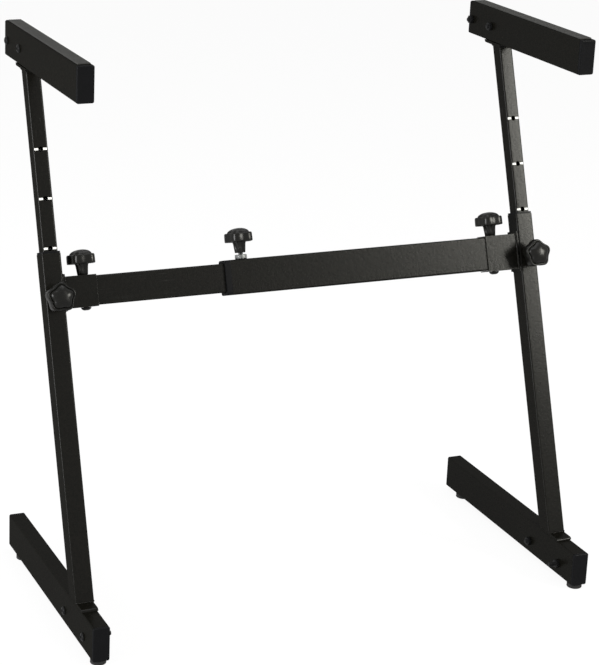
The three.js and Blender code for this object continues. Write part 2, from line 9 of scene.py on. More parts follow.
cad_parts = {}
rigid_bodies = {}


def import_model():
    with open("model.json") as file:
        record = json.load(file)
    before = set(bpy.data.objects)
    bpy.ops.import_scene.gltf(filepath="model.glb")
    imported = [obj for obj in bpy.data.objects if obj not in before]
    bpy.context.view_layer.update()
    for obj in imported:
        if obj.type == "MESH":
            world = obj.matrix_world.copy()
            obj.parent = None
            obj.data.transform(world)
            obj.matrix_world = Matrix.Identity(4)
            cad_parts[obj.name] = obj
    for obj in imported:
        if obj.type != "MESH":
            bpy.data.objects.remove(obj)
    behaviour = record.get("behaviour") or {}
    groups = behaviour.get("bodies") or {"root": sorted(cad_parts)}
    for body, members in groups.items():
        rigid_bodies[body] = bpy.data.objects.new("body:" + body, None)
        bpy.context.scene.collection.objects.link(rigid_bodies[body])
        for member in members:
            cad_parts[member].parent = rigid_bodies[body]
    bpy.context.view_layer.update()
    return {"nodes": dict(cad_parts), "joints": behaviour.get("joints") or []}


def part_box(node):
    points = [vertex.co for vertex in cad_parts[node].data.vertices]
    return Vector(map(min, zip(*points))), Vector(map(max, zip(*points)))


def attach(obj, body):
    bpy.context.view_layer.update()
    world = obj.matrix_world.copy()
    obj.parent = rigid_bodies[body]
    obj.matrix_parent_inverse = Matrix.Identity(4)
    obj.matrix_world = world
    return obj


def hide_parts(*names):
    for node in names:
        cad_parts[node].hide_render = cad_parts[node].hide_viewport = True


for leftover in list(bpy.data.objects):
    bpy.data.objects.remove(leftover)

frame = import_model()
nodes = frame["nodes"]

# ---------- sizes, in metres ----------

TILT = math.radians(20)
SIDES = (("left", -1), ("right", 1))
FRAME_X = 0.432  # from the middle plane to each side frame's middle plane
RAIL_WIDTH = 0.028
RAIL_HEIGHT = 0.058
FOOT_TOP = 0.066
SHOE = 0.005
CAP_REACH = 0.0053  # from a rail's open end to its cap's face, with the gap between them
FOOT_SETBACK = 0.098  # from the front cap's face back to the uprights' middle line
LOWER_SIZE = 0.032
UPPER_SIZE = 0.025
INDEX_PITCH = 0.080
LOWEST_INDEX = 0.40532
INDEX_COUNT = 5
THREAD_PITCH = 0.00125
THREAD_DEPTH = 0.00062
THREAD_STEP = 0.00024  # between two rings of a threaded rod
STUD_RADIUS = 0.004
SEAT_GAP = 0.0003
BRACKET_SHEET = 0.0016
BRACKET_PLATE_RIM = 0.0034  # the base plate's weld, beyond the channel
INNER_BAR = (0.020, 0.048)
OUTER_BAR = (0.028, 0.058)
BAR_IN_BRACKET = {"left": INNER_BAR, "right": OUTER_BAR}
WIDTH_NUT_FLAT = 0.0095
WIDTH_NUT_HEIGHT = 0.0075
WIDTH_KNOB_GAP = 0.003
HEIGHT_NUT_FLAT = 0.0078
HEIGHT_NUT_HEIGHT = 0.003
STUD_IN_KNOB = 0.0151
PIVOT_HEAD = (0.0085, 0.005)  # radius and height
RAIL_HEAD = (0.007, 0.0035)
RAIL_NUT = (0.0065, 0.006)  # inner radius and height
SOCKET_FLAT = 0.0025
SOCKET_DEPTH = 0.0020

# The uprights' middle line starts here, on the foot's top.
foot_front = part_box("left_foot_tube")[0][1] - CAP_REACH
AXIS_FOOT = Vector((0, foot_front + FOOT_SETBACK, FOOT_TOP))
AXIS = Vector((0, math.sin(TILT), math.cos(TILT)))
FRONT = Vector((0, -math.cos(TILT), math.sin(TILT)))

joints = {joint["name"]: joint for joint in frame["joints"]}

# ---------- materials ----------


class Nodes:
    """Short calls for building one material's node tree."""

    def __init__(self, name):
        self.material = bpy.data.materials.new(name)
        self.material.use_nodes = True
        self.tree = self.material.node_tree
        self.shader = self.tree.nodes["Principled BSDF"]
        self.coordinates = self.tree.nodes.new("ShaderNodeTexCoord").outputs["Object"]
        self.object_normal = self.coordinates.node.outputs["Normal"]

    def link(self, source, target):
        if isinstance(source, (int, float)):
            target.default_value = source
        elif isinstance(source, (tuple, list, Vector)):
            target.default_value = tuple(source)
        else:
            self.tree.links.new(source, target)

    def math(self, operation, a, b=0.0, clamp=False):
        node = self.tree.nodes.new("ShaderNodeMath")
        node.operation = operation
        node.use_clamp = clamp
        self.link(a, node.inputs[0])
        self.link(b, node.inputs[1])
        return node.outputs[0]

    def vector(self, operation, a, b):
        node = self.tree.nodes.new("ShaderNodeVectorMath")
        node.operation = operation
        self.link(a, node.inputs[0])
        self.link(b, node.inputs[1])
        return node.outputs["Value" if operation == "DOT_PRODUCT" else "Vector"]

    def stretch(self, scale):
        return self.vector("MULTIPLY", self.coordinates, scale)

    def noise(self, size, detail=2.0, roughness=0.5, at=None):
        """Noise whose features are about this many metres across."""
        node = self.tree.nodes.new("ShaderNodeTexNoise")
        self.link(at or self.coordinates, node.inputs["Vector"])
        node.inputs["Scale"].default_value = 1 / size
        node.inputs["Detail"].default_value = detail
        node.inputs["Roughness"].default_value = roughness
        return node.outputs["Fac"]

    def cells(self, size):
        node = self.tree.nodes.new("ShaderNodeTexVoronoi")
        self.link(self.coordinates, node.inputs["Vector"])
        node.inputs["Scale"].default_value = 1 / size
        return node.outputs["Distance"]

    def between(self, value, low, high, out_low=0.0, out_high=1.0):
        node = self.tree.nodes.new("ShaderNodeMapRange")
        self.link(value, node.inputs["Value"])
        node.inputs["From Min"].default_value = low
        node.inputs["From Max"].default_value = high
        node.inputs["To Min"].default_value = out_low
        node.inputs["To Max"].default_value = out_high
        return node.outputs["Result"]

    def mix(self, factor, a, b):
        node = self.tree.nodes.new("ShaderNodeMix")
        node.data_type = "RGBA"
        self.link(factor, node.inputs["Factor"])
        for value, socket in ((a, node.inputs["A"]), (b, node.inputs["B"])):
            self.link((*value, 1.0) if isinstance(value, tuple) else value, socket)
        return node.outputs["Result"]

    def bump(self, height, depth, strength=1.0, before=None):
        node = self.tree.nodes.new("ShaderNodeBump")
        node.inputs["Strength"].default_value = strength
        node.inputs["Distance"].default_value = depth
        self.link(height, node.inputs["Height"])
        if before is not None:
            self.link(before, node.inputs["Normal"])
        return node.outputs["Normal"]

    def edges(self, radius):
        """0 on flat places, up to 1 near an edge."""
        bevel = self.tree.nodes.new("ShaderNodeBevel")
        bevel.samples = 4
        bevel.inputs["Radius"].default_value = radius
        geometry = self.tree.nodes.new("ShaderNodeNewGeometry")
        same = self.vector("DOT_PRODUCT", bevel.outputs["Normal"], geometry.outputs["Normal"])
        return self.between(same, 0.995, 0.90)

    def finish(self, color, roughness, normal=None, **constants):
        self.link((*color, 1.0) if isinstance(color, tuple) else color, self.shader.inputs["Base Color"])
        self.link(roughness, self.shader.inputs["Roughness"])
        if normal is not None:
            self.link(normal, self.shader.inputs["Normal"])
            self.link(normal, self.shader.inputs["Coat Normal"])
        for name, value in constants.items():
            self.shader.inputs[name.replace("_", " ")].default_value = value
        return self.material


# The white surround mirrors weakly in a thin coat, so that faces stay black and only the key light shines.
COAT_SHINE = {"Specular_IOR_Level": 0.0, "Coat_Weight": 0.040, "Coat_Roughness": 0.27, "Coat_IOR": 2.6}


def powder_coat(name, scuffs=None, index_marks=False):
    """Satin black powder coat with orange peel and fine grit; its edges are painted paler, partly as worn
    paint and partly as a painted highlight.

    Where tubes slide, scuffs is the stretch of the faint lengthwise marks. index_marks draws the white bands.
    """
    n = Nodes(name)
    cloud = n.noise(0.09, 3)
    speck = n.between(n.noise(0.0011, 2, 0.7), 0.35, 0.7)
    mottle = n.between(n.noise(0.0045, 3, 0.6), 0.38, 0.62)
    color = n.mix(cloud, (0.0017, 0.0017, 0.0012), (0.0028, 0.0027, 0.0020))
    color = n.mix(n.math("MULTIPLY", mottle, 0.6), color, (0.0050, 0.0045, 0.0034))
    color = n.mix(n.math("MULTIPLY", speck, 0.4), color, (0.0062, 0.0059, 0.0050))
    # Edges painted paler: partly worn paint, partly a painted highlight for the light that rounded corners
    # catch.
    worn_and_highlit_edges = n.math("MULTIPLY", n.edges(0.0007), n.between(n.noise(0.006, 4, 0.7), 0.42, 0.66))
    color = n.mix(n.math("MULTIPLY", worn_and_highlit_edges, 0.75), color, (0.052, 0.051, 0.047))
    roughness = n.between(cloud, 0.3, 0.7, 0.40, 0.50)
    if scuffs:
        streaks = n.between(n.noise(0.0014, 2, 0.6, n.stretch(scuffs)), 0.60, 0.74)
        patches = n.between(n.noise(0.05, 2), 0.48, 0.62)
        worn = n.math("MULTIPLY", n.math("MULTIPLY", streaks, patches), 0.35)
        color = n.mix(worn, color, (0.040, 0.040, 0.038))
        roughness = n.math("SUBTRACT", roughness, n.math("MULTIPLY", worn, 0.3))
    if index_marks:
        along = n.vector("DOT_PRODUCT", n.vector("SUBTRACT", n.coordinates, AXIS_FOOT), AXIS)
        steps = n.math("DIVIDE", n.math("SUBTRACT", along, LOWEST_INDEX), INDEX_PITCH)
        nearest = n.math("FRACT", n.math("ADD", steps, 0.5))
        away = n.math("ABSOLUTE", n.math("SUBTRACT", nearest, 0.5))
        ragged = n.math("MULTIPLY", n.math("SUBTRACT", n.noise(0.0012, 2), 0.5), 0.006)
        line = n.between(n.math("ADD", away, ragged), 0.0225, 0.0195)
        facing = n.math("GREATER_THAN", n.vector("DOT_PRODUCT", n.object_normal, FRONT), 0.93)
        above_first = n.math("GREATER_THAN", steps, -0.4)
        below_last = n.math("LESS_THAN", steps, INDEX_COUNT - 0.6)
        inside = n.math("MULTIPLY", above_first, below_last)
        mark = n.math("MULTIPLY", n.math("MULTIPLY", line, facing), inside)
        mark = n.math("MULTIPLY", mark, n.between(n.noise(0.002, 3, 0.7), 0.28, 0.42))
        color = n.mix(mark, color, (0.78, 0.78, 0.75))
    normal = n.bump(n.noise(0.0016, 2, 0.45), 0.00012, 0.55)
    normal = n.bump(n.noise(0.0005, 1, 0.5), 0.00004, 0.5, normal)
    normal = n.bump(n.noise(0.0055, 3, 0.6), 0.0003, 0.6, normal)
    return n.finish(color, roughness, normal, **COAT_SHINE)


def moulded_plastic(name, dark, light, smooth, rough, grain, depth, **shine):
    """Black plastic with a fine moulded grain; its edges are painted a little paler, partly as wear and
    partly as a painted highlight.
    """
    n = Nodes(name)
    cloud = n.noise(0.02, 3)
    color = n.mix(cloud, dark, light)
    # Edges painted a little paler: partly wear, partly a painted highlight.
    worn_and_highlit_edges = n.math("MULTIPLY", n.edges(0.0006), n.between(n.noise(0.003, 4, 0.7), 0.4, 0.65))
    color = n.mix(n.math("MULTIPLY", worn_and_highlit_edges, 0.35), color, tuple(4 * part for part in light))
    roughness = n.between(n.noise(0.004, 3, 0.6), 0.3, 0.7, smooth, rough)
    normal = n.bump(n.cells(grain), depth, 0.5)
    return n.finish(color, roughness, normal, **shine)


def rubber(name, dark, light, speckle):
    """Matt rubber with pores, dusty in the hollows."""
    n = Nodes(name)
    fine = n.between(n.noise(0.0007, 3, 0.7), 0.35, 0.68)
    color = n.mix(n.noise(0.015, 3), dark, light)
    color = n.mix(n.math("MULTIPLY", fine, speckle), color, tuple(2.2 * part for part in light))
    roughness = n.between(n.noise(0.003, 2), 0.3, 0.7, 0.78, 0.92)
    normal = n.bump(n.noise(0.0006, 2, 0.6), 0.00010, 0.7)
    return n.finish(color, roughness, normal, Specular_IOR_Level=0.25)


def plated_steel(name, dark, light, smooth, rough, **shine):
    """Plated or blackened steel with a mottled, finely pitted surface."""
    n = Nodes(name)
    mottle = n.noise(0.003, 4, 0.65)
    color = n.mix(n.between(mottle, 0.35, 0.65), dark, light)
    roughness = n.between(n.noise(0.0012, 3, 0.6), 0.3, 0.7, smooth, rough)
    normal = n.bump(n.noise(0.0004, 2, 0.6), 0.00003, 0.6)
    return n.finish(color, roughness, normal, **shine)


LENGTHWISE = {"bar": (0.02, 1, 1), "upright": (1, 0.35, 0.03)}
coat = powder_coat("powder_coat_frame")
coat_bar = powder_coat("powder_coat_inner_bar", scuffs=LENGTHWISE["bar"])
coat_mast = powder_coat("powder_coat_indexed_mast", scuffs=LENGTHWISE["upright"], index_marks=True)
cap_plastic = moulded_plastic(
    "cap_plastic_grained",
    dark=(0.0032, 0.0033, 0.0037),
    light=(0.0048, 0.0049, 0.0055),
    smooth=0.42,
    rough=0.54,
    grain=0.0006,
    depth=0.00007,
    Specular_IOR_Level=0.0,
    Coat_Weight=0.08,
    Coat_Roughness=0.35,
    Coat_IOR=1.6,
)
knob_plastic = moulded_plastic(
    "knob_plastic_gloss",
    dark=(0.0026, 0.0026, 0.0021),
    light=(0.0040, 0.0039, 0.0032),
    smooth=0.34,
    rough=0.46,
    grain=0.0009,
    depth=0.00002,
    Specular_IOR_Level=0.02,
    Coat_Weight=0.22,
    Coat_Roughness=0.27,
    Coat_IOR=1.6,
)
glide_rubber = rubber("glide_rubber_matt", (0.008, 0.008, 0.008), (0.012, 0.012, 0.012), 0.4)
pad_rubber = rubber("pad_rubber_grey", (0.014, 0.014, 0.013), (0.021, 0.021, 0.0195), 0.6)
zinc = plated_steel(
    "zinc_plate",
    dark=(0.075, 0.077, 0.08),
    light=(0.19, 0.195, 0.19),
    smooth=0.28,
    rough=0.42,
    Metallic=1.0,
    Specular_IOR_Level=0.5,
)
black_steel = plated_steel(
    "blackened_steel",
    dark=(0.004, 0.004, 0.0045),
    light=(0.010, 0.010, 0.0098),
    smooth=0.34,
    rough=0.48,
    Metallic=0.0,
    Specular_IOR_Level=0.06,
)

# ---------- carried-over CAD nodes ----------


def soft_edge_tree():
    """Drops the imported normals and sharp marks, then shades smoothly up to an edge of 32 degrees."""
    tree = bpy.data.node_groups.new("smooth_to_edges", "GeometryNodeTree")
    tree.interface.new_socket("Geometry", in_out="INPUT", socket_type="NodeSocketGeometry")
    tree.interface.new_socket("Geometry", in_out="OUTPUT", socket_type="NodeSocketGeometry")
    start = tree.nodes.new("NodeGroupInput")
    end = tree.nodes.new("NodeGroupOutput")
    clean = start.outputs[0]
    for attribute in ("custom_normal", "sharp_face", "sharp_edge"):
        remove = tree.nodes.new("GeometryNodeRemoveAttribute")
        remove.inputs["Name"].default_value = attribute
        tree.links.new(clean, remove.inputs["Geometry"])
        clean = remove.outputs["Geometry"]
    faces = tree.nodes.new("GeometryNodeSetShadeSmooth")
    tree.links.new(clean, faces.inputs["Geometry"])
    angle = tree.nodes.new("GeometryNodeInputMeshEdgeAngle")
    compare = tree.nodes.new("FunctionNodeCompare")
    compare.operation = "GREATER_THAN"
    compare.inputs["B"].default_value = math.radians(32)
    tree.links.new(angle.outputs["Unsigned Angle"], compare.inputs["A"])
    edges = tree.nodes.new("GeometryNodeSetShadeSmooth")
    edges.domain = "EDGE"
    edges.inputs["Shade Smooth"].default_value = False
    tree.links.new(faces.outputs["Geometry"], edges.inputs["Geometry"])
    tree.links.new(compare.outputs["Result"], edges.inputs["Selection"])
    tree.links.new(edges.outputs["Geometry"], end.inputs[0])
    return tree


SMOOTH_TREE = soft_edge_tree()


def keep_faces_flat(obj):
    """Large faces keep their own direction, and only the small ones between them shade round."""
    weighted = obj.modifiers.new("keep_faces_flat", "WEIGHTED_NORMAL")
    weighted.keep_sharp = True
    weighted.weight = 100


def dress(node, material, edge=0.0004):
    """Gives a CAD node its material and softly rounded edges, with modifiers alone."""
    obj = nodes[node]
    for slot in obj.material_slots:
        slot.material = material
    weld = obj.modifiers.new("join_triangles", "WELD")
    weld.merge_threshold = 0.000002
    if edge:
        bevel = obj.modifiers.new("round_edges", "BEVEL")
        bevel.width = edge
        bevel.segments = 2
        bevel.limit_method = "ANGLE"
        bevel.angle_limit = math.radians(40)
    smooth = obj.modifiers.new("smooth_to_edges", "NODES")
    smooth.node_group = SMOOTH_TREE
    keep_faces_flat(obj)


# ---------- making pieces from rings ----------

ROD_SIDES = 28
HEAD_SIDES = 72

def finish_piece(name, vertices, faces, material, body, slot, replaces=(), place=None):
    mesh = bpy.data.meshes.new(name)
    mesh.from_pydata([tuple(v) for v in vertices], [], faces)
    mesh.validate()
    mesh.update()
    mesh.materials.append(material)
    mesh.polygons.foreach_set("use_smooth", [True] * len(mesh.polygons))
    mesh.set_sharp_from_angle(angle=math.radians(50))
    obj = bpy.data.objects.new(name, mesh)
    bpy.context.scene.collection.objects.link(obj)
    if place is not None:
        obj.matrix_world = place
    bpy.context.view_layer.update()
    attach(obj, body)
    if replaces:
        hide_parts(*replaces)
    return obj


def ring_faces(rings, count, start=0):
    """Quads between successive rings of count points, and a fan-free cap at each end."""
    faces = []
    for r in range(rings - 1):
        low = start + r * count
        for i in range(count):
            j = (i + 1) % count
            faces.append((low + i, low + j, low + count + j, low + count + i))
    faces.append(tuple(start + i for i in reversed(range(count))))
    last = start + (rings - 1) * count
    faces.append(tuple(last + i for i in range(count)))
    return faces


def rings_body(rings, count, radius_at):
    """Closed body along +Z, from (height, size) rings.

    radius_at(size, height, angle) gives each ring's outline.
    """
    vertices = []
    for height, size in rings:
        for i in range(count):
            angle = 2 * math.pi * i / count
            radius = radius_at(size, height, angle)
            vertices.append(Vector((radius * math.cos(angle), radius * math.sin(angle), height)))
    return vertices, ring_faces(len(rings), count)


def joined(*bodies):
    vertices, faces = [], []
    for body_vertices, body_faces in bodies:
        offset = len(vertices)
        vertices += body_vertices
        faces += [tuple(index + offset for index in face) for face in body_faces]
    return vertices, faces


def moved(body, matrix):
    return [matrix @ vertex for vertex in body[0]], body[1]


def round_outline(size, _height, _angle):
    return size


def hexagon(size, angle):
    """Distance to a hexagon's side at this angle; size is its inner radius."""
    turn = (angle % (math.pi / 3)) - math.pi / 6
    return size / math.cos(turn)


def rounded_corner(center, radius, start, end, steps):
    """(radius, height) points of an arc in a turned profile."""
    points = []
    for i in range(steps + 1):
        angle = start + (end - start) * i / steps
        points.append((center[0] + radius * math.cos(angle), center[1] + radius * math.sin(angle)))
    return points


def turned(profile, count=48):
    return rings_body([(height, radius) for radius, height in profile], count, round_outline)


def thread(length):
    """A threaded rod from z = 0: its flanks climb round it."""
    steps = max(4, math.ceil(length / THREAD_STEP))
    rings = [(length * i / steps, STUD_RADIUS) for i in range(steps + 1)]

    def outline(size, height, angle):
        phase = (height / THREAD_PITCH - angle / (2 * math.pi)) % 1
        ridge = 1 - abs(2 * phase - 1)
        lead_in = min(1, (length - height) / 0.001)
        return size - THREAD_DEPTH * (1 - min(1, 1.25 * ridge) * lead_in)

    return rings_body(rings, ROD_SIDES, outline)


def chamfered_nut(flat, height):
    """A hexagon nut from z = 0 with both rims chamfered and a collar round its thread."""
    corner = flat / math.cos(math.pi / 6)
    chamfer = 0.96 * (corner - flat)
    rings = [(0.0, 0.0), (chamfer * 0.5, 1.0), (height - chamfer * 0.5, 1.0), (height, 0.0)]

    def outline(size, _height, angle):
        limit = flat * 0.99 + (corner - flat * 0.99) * size
        return min(hexagon(flat, angle), limit)

    body = rings_body(rings, HEAD_SIDES, outline)
    collar = turned(
        [
            (STUD_RADIUS + 0.0016, height - 0.0002),
            (STUD_RADIUS + 0.0012, height + 0.0001),
            (STUD_RADIUS + 0.0002, height + 0.0001),
        ]
    )
    return joined(body, collar)


def socket_head(radius, height):
    """A domed bolt head from z = 0 up, with a hexagon socket in its top."""
    edge, rim = 0.0003, 0.0034
    profile = [(radius - edge, 0.0), (radius, edge)]
    top = math.acos(rim / radius)
    for i in range(1, 8):
        angle = top * i / 7
        level = edge + (height - edge) * math.sin(angle) / math.sin(top)
        profile.append((radius * math.cos(angle), level))
    vertices = []
    for size, level in profile:
        for i in range(HEAD_SIDES):
            angle = 2 * math.pi * i / HEAD_SIDES
            vertices.append(Vector((size * math.cos(angle), size * math.sin(angle), level)))
    for level in (height - 0.0001, height - SOCKET_DEPTH):
        for i in range(HEAD_SIDES):
            angle = 2 * math.pi * i / HEAD_SIDES
            size = hexagon(SOCKET_FLAT, angle)
            vertices.append(Vector((size * math.cos(angle), size * math.sin(angle), level)))
    return vertices, ring_faces(len(profile) + 2, HEAD_SIDES)


def upturned(head, height):
    """A head whose flat side, not its top, is at its far end."""
    return moved(moved(head, Matrix.Rotation(math.pi, 4, "X")), Matrix.Translation((0, 0, height)))


# ---------- knobs ----------

KNOB_LOBES = 5
KNOB_SIDES = 100
KNOB_NECK = 0.018
KNOB_HEAD = 0.0153
KNOB_DOME = 0.008


def star_knob():
    """Five-lobed knob along +Z, with its neck's foot at z = 0.

    It has a fluted neck, a hollow underside, a raised rim and a domed middle. Each ring is height, size and
    the depth of the hollows between the lobes.
    """
    neck, crown = KNOB_NECK, KNOB_NECK + KNOB_HEAD
    rings = [
        (0.0000, 0.0070, 0.0010),
        (0.0000, 0.0088, 0.0022),
        (0.0006, 0.0094, 0.0026),
        (neck * 0.45, 0.0103, 0.0029),
        (neck - 0.0025, 0.0111, 0.0027),
        (neck - 0.0002, 0.0121, 0.0022),
        (neck + 0.0016, 0.0138, 0.0018),
        (neck + 0.0020, 0.0170, 0.0020),
        (neck + 0.0016, 0.0205, 0.0030),
        (neck + 0.0004, 0.0216, 0.0034),
        (neck + 0.0001, 0.0226, 0.0036),
        (neck + 0.0003, 0.0238, 0.0038),
        (neck + 0.0008, 0.0244, 0.0038),
        (neck + 0.0020, 0.0247, 0.0038),
        (neck + 0.0080, 0.0246, 0.0038),
        (crown - 0.0024, 0.0244, 0.0038),
        (crown - 0.0011, 0.0240, 0.0038),
        (crown - 0.0003, 0.0234, 0.0038),
        (crown, 0.0222, 0.0037),
        (crown - 0.0001, 0.0212, 0.0036),
        (crown - 0.0006, 0.0207, 0.0035),
        (crown - 0.0008, 0.0200, 0.0033),
    ]
    groove, dome_radius, dome_steps = 0.0008, 0.0196, 12
    floor, rise = crown - groove, KNOB_DOME + groove
    for i in range(1, dome_steps):
        angle = (math.pi / 2) * (1 - i / dome_steps)
        size = dome_radius * math.sin(angle)
        rings.append((floor + rise * math.cos(angle), size, 0.0033 * (size / dome_radius) ** 2))
    vertices = []
    for height, size, lobe in rings:
        for i in range(KNOB_SIDES):
            angle = 2 * math.pi * i / KNOB_SIDES
            wave = (1 - math.cos(KNOB_LOBES * angle)) / 2
            reach = size - lobe * wave
            vertices.append(Vector((-reach * math.sin(angle), reach * math.cos(angle), height)))
    return vertices, ring_faces(len(rings), KNOB_SIDES)


def along(origin, direction, up=Vector((1, 0, 0))):
    """A place whose z runs along direction and whose x is level."""
    z = Vector(direction).normalized()
    x = up - up.dot(z) * z
    x.normalize()
    y = z.cross(x)
    matrix = Matrix((x, y, z)).transposed().to_4x4()
    matrix.translation = origin
    return matrix


def knob_piece(node, joint_name, body, foot):
    joint = joints[joint_name]
    direction = Vector(joint["axis"])
    place = along(Vector(joint["pos_m"]) + direction * foot, direction)
    name = f"{node}_moulded"
    finish_piece(name, *star_knob(), knob_plastic, body, "knob_plastic", (node,), place)


BRACKET_TOP = {}
for side, (_, bar_height) in BAR_IN_BRACKET.items():
    BRACKET_TOP[side] = bar_height / 2 + 2 * SEAT_GAP + BRACKET_SHEET
WIDTH_NUT_BASE = OUTER_BAR[1] / 2 + SEAT_GAP
WIDTH_NECK = WIDTH_NUT_BASE + WIDTH_NUT_HEIGHT + WIDTH_KNOB_GAP
HEIGHT_NUT_BASE = LOWER_SIZE / 2 + SEAT_GAP
HEIGHT_NECK = HEIGHT_NUT_BASE + HEIGHT_NUT_HEIGHT + SEAT_GAP
for side, _ in SIDES:
    knob_piece(f"{side}_height_knob", f"{side}_height_knob_turn", f"{side}_height_clamp", HEIGHT_NECK)
    knob_piece(f"{side}_fold_knob", f"{side}_fold_knob_turn", f"{side}_fold_clamp", BRACKET_TOP[side])
knob_piece("width_knob", "width_knob_turn", "width_clamp", WIDTH_NECK)

# ---------- studs and nuts ----------


def threaded_stud(node, joint_name, body, start, end):
    joint = joints[joint_name]
    direction = Vector(joint["axis"])
    place = along(Vector(joint["pos_m"]) + direction * start, direction)
    name = f"{node}_threaded"
    finish_piece(name, *thread(end - start), zinc, body, "zinc_steel", (node,), place)


def nut_piece(node, joint_name, body, base, flat, height, material, slot):
    joint = joints[joint_name]
    direction = Vector(joint["axis"])
    place = along(Vector(joint["pos_m"]) + direction * base, direction)
    name = f"{node}_machined"
    finish_piece(name, *chamfered_nut(flat, height), material, body, slot, (node,), place)


def bead_path(points, radius, closed=False, ripple=0.0021):
    """A weld bead along a path: a round rope whose thickness swells once every ripple."""
    count = 10
    vertices = []
    total = len(points)
    travelled = 0.0
    for i, point in enumerate(points):
        before = points[(i - 1) % total] if closed or i else point
        after = points[(i + 1) % total] if closed or i < total - 1 else point
        tangent = (after - before).normalized()
        if i:
            travelled += (point - points[i - 1]).length
        helper = Vector((0, 0, 1)) if abs(tangent.z) < 0.9 else Vector((1, 0, 0))
        side = tangent.cross(helper).normalized()
        up = side.cross(tangent)
        swell = 0.82 + 0.18 * abs(math.sin(math.pi * travelled / ripple))
        swell *= 1 + 0.08 * math.sin(17.3 * i + 5 * math.sin(3.1 * i))
        if not closed and i in (0, total - 1):
            swell *= 0.35
        for k in range(count):
            angle = 2 * math.pi * k / count
            offset = side * math.cos(angle) + up * math.sin(angle)
            vertices.append(point + offset * radius * swell)
    if not closed:
        return vertices, ring_faces(total, count)
    faces = []
    for r in range(total):
        low, high = r * count, ((r + 1) % total) * count
        for k in range(count):
            m = (k + 1) % count
            faces.append((low + k, low + m, high + m, high + k))
    return vertices, faces


def sampled(start, end, step=0.0005):
    steps = max(2, round((end - start).length / step))
    return [start.lerp(end, i / steps) for i in range(steps + 1)]


turn, clamp = "width_knob_turn", "width_clamp"
threaded_stud("width_stud", turn, clamp, INNER_BAR[1] / 2 + SEAT_GAP, WIDTH_NECK + STUD_IN_KNOB)
size = (WIDTH_NUT_FLAT, WIDTH_NUT_HEIGHT)
nut_piece("width_nut", turn, "outer_bar", WIDTH_NUT_BASE, *size, zinc, "zinc_steel")
for side, _ in SIDES:
    turn, clamp = f"{side}_height_knob_turn", f"{side}_height_clamp"
    start, end = UPPER_SIZE / 2 + SEAT_GAP, HEIGHT_NECK + STUD_IN_KNOB
    threaded_stud(f"{side}_height_stud", turn, clamp, start, end)
    size = (HEIGHT_NUT_FLAT, HEIGHT_NUT_HEIGHT)
    nut_piece(f"{side}_height_nut", turn, f"{side}_base", HEIGHT_NUT_BASE, *size, coat, "powder_coat")

# ---------- bolts across the rails, and the pivot bolts ----------


def rail_bolt(node, side, body):
    """A domed bolt across a rail, with its head outside and its nut and thread on the inner side."""
    low, high = (Vector(corner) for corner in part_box(node))
    middle = (low + high) / 2
    length = high.x - low.x
    outer = low.x if side < 0 else high.x
    nut_base = RAIL_HEAD[1] + RAIL_WIDTH + 2 * SEAT_GAP
    inside_head = 0.002
    shank = turned([(STUD_RADIUS, inside_head), (STUD_RADIUS, inside_head + 0.9 * nut_base)], ROD_SIDES)
    beyond = Matrix.Translation((0, 0, nut_base))
    vertices, faces = joined(
        upturned(socket_head(*RAIL_HEAD), RAIL_HEAD[1]),
        shank,
        moved(chamfered_nut(*RAIL_NUT), beyond),
        moved(thread(length - nut_base), beyond),
    )
    place = along(Vector((outer, middle.y, middle.z)), (-side, 0, 0), Vector((0, 1, 0)))
    name = f"{node}_machined"
    finish_piece(name, vertices, faces, black_steel, body, "black_bolt", (node,), place)


def pivot_bolt(side):
    """The bolt along the fold axis: its head under the bracket, its thread up into the fold knob."""
    node = f"{side}_pivot_bolt"
    reach = BRACKET_TOP[side]
    below = Matrix.Translation((0, 0, -reach))
    head = upturned(socket_head(*PIVOT_HEAD), -reach)
    vertices, faces = joined(head, moved(thread(2 * reach + STUD_IN_KNOB), below))
    place = along(Vector(joints[f"{side}_fold"]["pos_m"]), AXIS)
    name, body = f"{node}_machined", f"{side}_base"
    finish_piece(name, vertices, faces, black_steel, body, "black_bolt", (node,), place)


for side, sign in SIDES:
    for rail, body in (("foot", "base"), ("arm", "mast")):
        for end in ("front", "rear"):
            rail_bolt(f"{side}_{rail}_bolt_{end}", sign, f"{side}_{body}")
    pivot_bolt(side)

# ---------- caps, glides and pads ----------

GLIDE_SIDES = 56
PAD_RIBS = 7
PAD_EASED = 0.0016  # over which each end of a pad rises to its full height
RIB_ARC = ((0.02, 0.0012), (0.14, 0.0017), (0.30, 0.00196), (0.5, 0.0020), (0.70, 0.00196), (0.86, 0.0017))

def rounded_rectangle(width, height, radius, per_corner=6):
    points = []
    corners = ((1, 1, 0), (-1, 1, 90), (-1, -1, 180), (1, -1, 270))
    for sx, sy, start in corners:
        for i in range(per_corner + 1):
            angle = math.radians(start + 90 * i / per_corner)
            x = sx * (width / 2 - radius) + radius * math.cos(angle)
            y = sy * (height / 2 - radius) + radius * math.sin(angle)
            points.append((x, y))
    return points


def cap_body():
    """A moulded end cap: its face is at z = 0 and it goes into the tube along +Z.

    Each ring is height, inset from the rail's outside and corner radius.
    """
    rings = [
        (0.0004, 0.0100, 0.0010),
        (0.0002, 0.0060, 0.0014),
        (0.0000, 0.0022, 0.0018),
        (0.0001, 0.0015, 0.0020),
        (0.0004, 0.0008, 0.0024),
        (0.0009, 0.0003, 0.0027),
        (0.0016, 0.0000, 0.0030),
        (0.0046, 0.0000, 0.0030),
        (0.0050, 0.0003, 0.0027),
        (0.0050, 0.0020, 0.0012),
        (0.0080, 0.0020, 0.0012),
        (0.0084, 0.0024, 0.0009),
    ]
    vertices = []
    for level, inset, radius in rings:
        for x, y in rounded_rectangle(RAIL_WIDTH - 2 * inset, RAIL_HEIGHT - 2 * inset, radius):
            vertices.append(Vector((x, y, level)))
    return vertices, ring_faces(len(rings), len(vertices) // len(rings))


